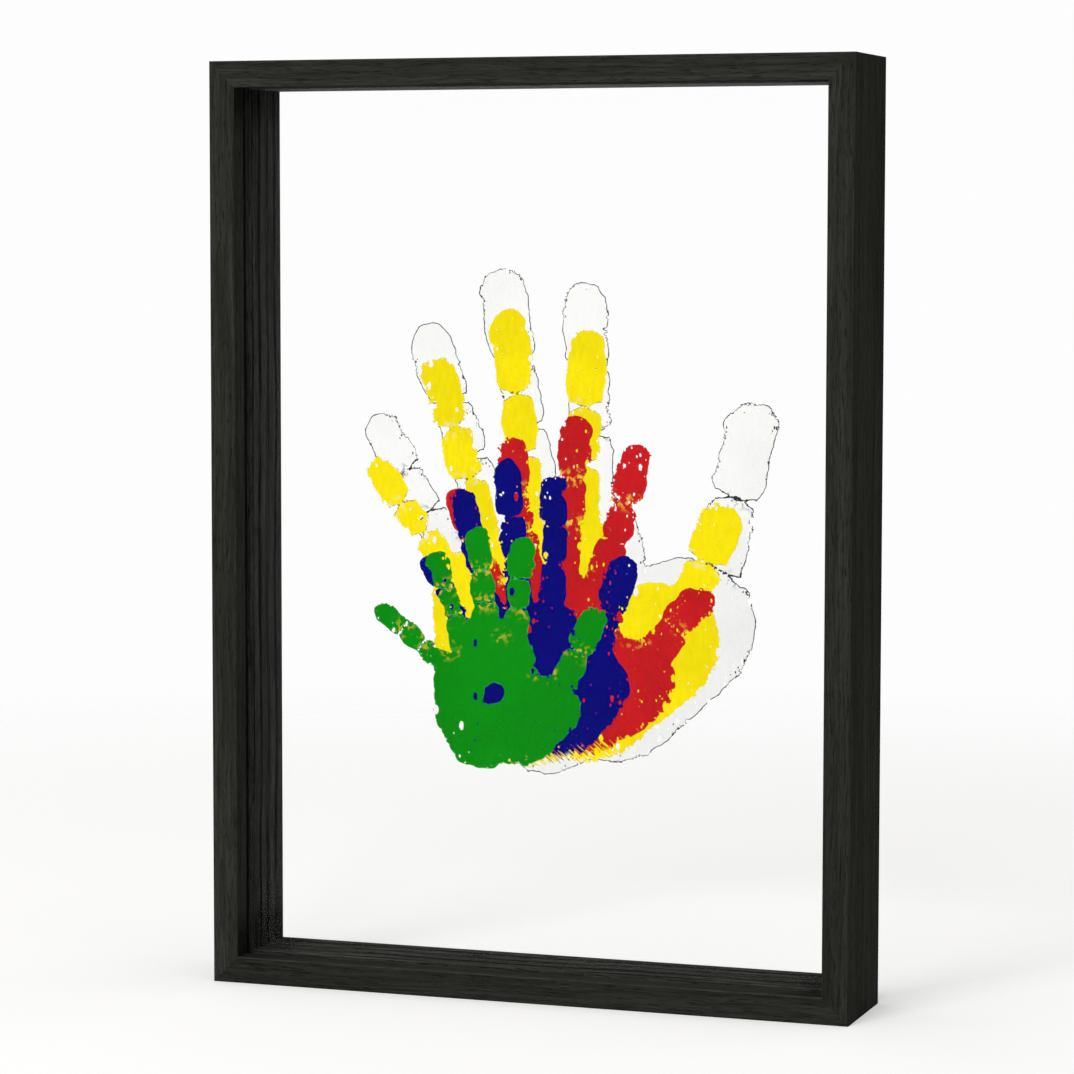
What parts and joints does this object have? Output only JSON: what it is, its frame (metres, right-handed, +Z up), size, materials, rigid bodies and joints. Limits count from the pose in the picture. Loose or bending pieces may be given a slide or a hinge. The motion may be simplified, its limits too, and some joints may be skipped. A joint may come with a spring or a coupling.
{
  "type": "handprint frame",
  "caption": "Free-standing see-through box frame in black-stained wood, with a layered family handprint held between two clear panes.",
  "frame": {"origin": "on the floor under the frame, at the middle of its width and of its whole depth, turn buttons and screws included", "axes": "+X to the right and +Z up as the viewer sees the front; -Y towards the viewer, so that the turn buttons are at +Y"},
  "size_m": [0.25, 0.047, 0.35],
  "materials": {
    "stained_wood": "satin",
    "clear_pane": "polished",
    "clear_film": "polished",
    "white_paint": "matt",
    "yellow_paint": "matt",
    "red_paint": "matt",
    "blue_paint": "matt",
    "green_paint": "matt",
    "zinc_steel": "satin"
  },
  "bodies": {
    "root": {"left_rail": "stained_wood", "left_spacer": "stained_wood", "left_bead": "stained_wood", "right_rail": "stained_wood", "right_spacer": "stained_wood", "right_bead": "stained_wood", "top_rail": "stained_wood", "top_spacer": "stained_wood", "top_bead": "stained_wood", "bottom_rail": "stained_wood", "bottom_spacer": "stained_wood", "bottom_bead": "stained_wood", "corner_v_nails": "zinc_steel", "front_pane": "clear_pane", "rear_pane": "clear_pane", "print_film": "clear_film", "white_print": "white_paint", "yellow_print": "yellow_paint", "red_print": "red_paint", "blue_print": "blue_paint", "green_print": "green_paint", "button_screws": "zinc_steel"},
    "left_upper_button": {"left_upper_button": "zinc_steel"},
    "left_lower_button": {"left_lower_button": "zinc_steel"},
    "right_upper_button": {"right_upper_button": "zinc_steel"},
    "right_lower_button": {"right_lower_button": "zinc_steel"},
    "top_button": {"top_button": "zinc_steel"},
    "bottom_button": {"bottom_button": "zinc_steel"}
  },
  "joints": [
    {"name": "left_upper_turn", "type": "hinge", "parent": "root", "child": "left_upper_button", "pos_m": [-0.1215, 0.022, 0.27], "axis": [0, 1, 0], "range_deg": [-90, 90]},
    {"name": "left_lower_turn", "type": "hinge", "parent": "root", "child": "left_lower_button", "pos_m": [-0.1215, 0.022, 0.08], "axis": [0, 1, 0], "range_deg": [-90, 90]},
    {"name": "right_upper_turn", "type": "hinge", "parent": "root", "child": "right_upper_button", "pos_m": [0.1215, 0.022, 0.27], "axis": [0, 1, 0], "range_deg": [-90, 90]},
    {"name": "right_lower_turn", "type": "hinge", "parent": "root", "child": "right_lower_button", "pos_m": [0.1215, 0.022, 0.08], "axis": [0, 1, 0], "range_deg": [-90, 90]},
    {"name": "top_turn", "type": "hinge", "parent": "root", "child": "top_button", "pos_m": [0, 0.022, 0.3465], "axis": [0, 1, 0], "range_deg": [-90, 90]},
    {"name": "bottom_turn", "type": "hinge", "parent": "root", "child": "bottom_button", "pos_m": [0, 0.022, 0.0035], "axis": [0, 1, 0], "range_deg": [-90, 90]}
  ]
}
